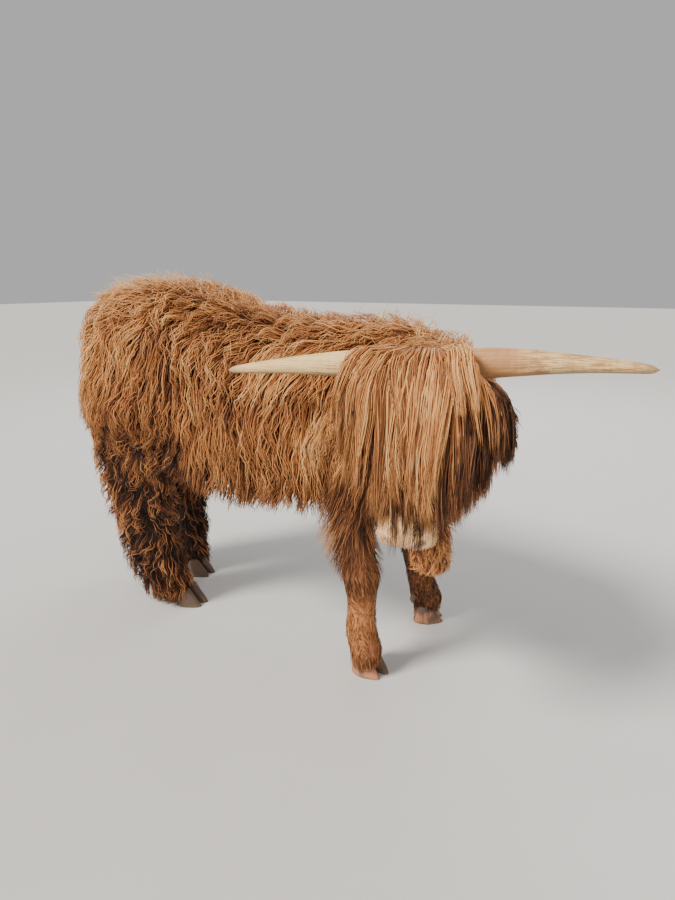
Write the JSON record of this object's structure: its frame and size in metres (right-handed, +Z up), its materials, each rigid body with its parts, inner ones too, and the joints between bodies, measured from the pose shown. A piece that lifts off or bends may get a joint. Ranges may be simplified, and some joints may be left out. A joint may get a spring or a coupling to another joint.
{
  "type": "highland cow model",
  "caption": "Life-size standing highland cow with a long shaggy ginger coat, a fringe over the eyes and wide level horns, its head turned to its right.",
  "frame": {"origin": "on the floor, under the middle of the box round the whole animal", "axes": "+X from the rump to the chest, +Y to the animal's left, +Z up"},
  "size_m": [2.076, 0.9024, 1.2074],
  "materials": {
    "coat": "long wavy hair, reddish ginger, darker in its depth",
    "long_hair": "long straight hair, golden ginger",
    "muzzle_skin": "soft skin with short pale hair",
    "horn": "grown horn, cream with fine streaks, half gloss",
    "claw_horn": "grown hoof horn, dark brown to pinkish, worn",
    "eye": "wet dark brown"
  },
  "bodies": {
    "root": {"claw_fore_left_inner": "claw_horn", "claw_fore_left_outer": "claw_horn", "claw_fore_right_inner": "claw_horn", "claw_fore_right_outer": "claw_horn", "claw_hind_left_inner": "claw_horn", "claw_hind_left_outer": "claw_horn", "claw_hind_right_inner": "claw_horn", "claw_hind_right_outer": "claw_horn", "dewclaw_fore_left_inner": "claw_horn", "dewclaw_fore_left_outer": "claw_horn", "dewclaw_fore_right_inner": "claw_horn", "dewclaw_fore_right_outer": "claw_horn", "ear_left": "coat", "ear_right": "coat", "eye_left": "eye", "eye_right": "eye", "forelock": "long_hair", "head": "coat", "horn_left": "horn", "horn_right": "horn", "leg_fore_left": "coat", "leg_fore_right": "coat", "leg_hind_left": "coat", "leg_hind_right": "coat", "muzzle": "muzzle_skin", "neck": "coat", "tail": "coat", "tail_switch": "long_hair", "trunk": "coat"}
  },
  "joints": []
}
